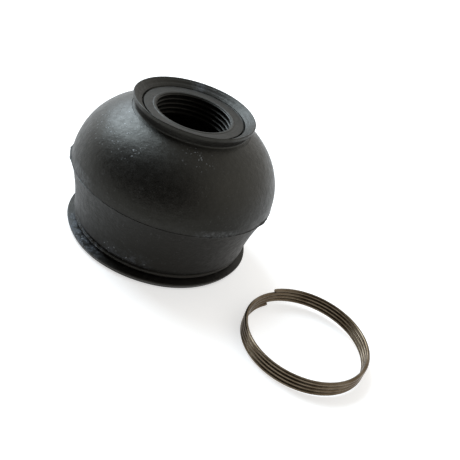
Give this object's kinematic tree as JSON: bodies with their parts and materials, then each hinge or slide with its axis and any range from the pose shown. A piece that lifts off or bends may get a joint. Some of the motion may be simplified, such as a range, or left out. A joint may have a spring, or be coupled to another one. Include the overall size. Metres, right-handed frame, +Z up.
{
  "type": "tie rod end dust boot",
  "caption": "Black rubber dust boot for a tie rod end's ball joint: domed wall, dished collar, flanged foot, with its loose wire retaining ring.",
  "frame": {"origin": "centre of the boot's foot, on the surface that it stands on", "axes": "+Z up the boot's axis towards the stud collar; +X and -Y towards the side where the loose retaining ring lies"},
  "size_m": [0.066, 0.0567, 0.0298],
  "materials": {
    "rubber_foot": "matte",
    "rubber_wall": "satin",
    "rubber_collar": "matte",
    "spring_steel": "satin, oil-tempered brown"
  },
  "bodies": {
    "boot_foot": {"boot_foot": "rubber_foot"},
    "boot_wall": {"boot_wall": "rubber_wall"},
    "boot_collar": {"boot_collar": "rubber_collar"},
    "retaining_ring": {"retaining_ring": "spring_steel"}
  },
  "joints": [
    {"name": "wall_lean", "type": "hinge", "parent": "boot_foot", "child": "boot_wall", "pos_m": [0, 0, 0], "axis": [0, 1, 0], "range_deg": [-10, 10], "stiffness_Nm_per_rad": 0.1, "deforming": ["boot_wall"]},
    {"name": "collar_lean", "type": "hinge", "parent": "boot_wall", "child": "boot_collar", "pos_m": [0, 0, 0], "axis": [0, 1, 0], "range_deg": [-10, 10], "stiffness_Nm_per_rad": 0.1, "deforming": ["boot_wall"]},
    {"name": "ring_lift", "type": "slide", "parent": "boot_foot", "child": "retaining_ring", "axis": [0, 0, 1], "range_m": [0, 0.034]}
  ],
  "couplings": [
    {"joint": "collar_lean", "follows": "wall_lean", "ratio": 1}
  ]
}
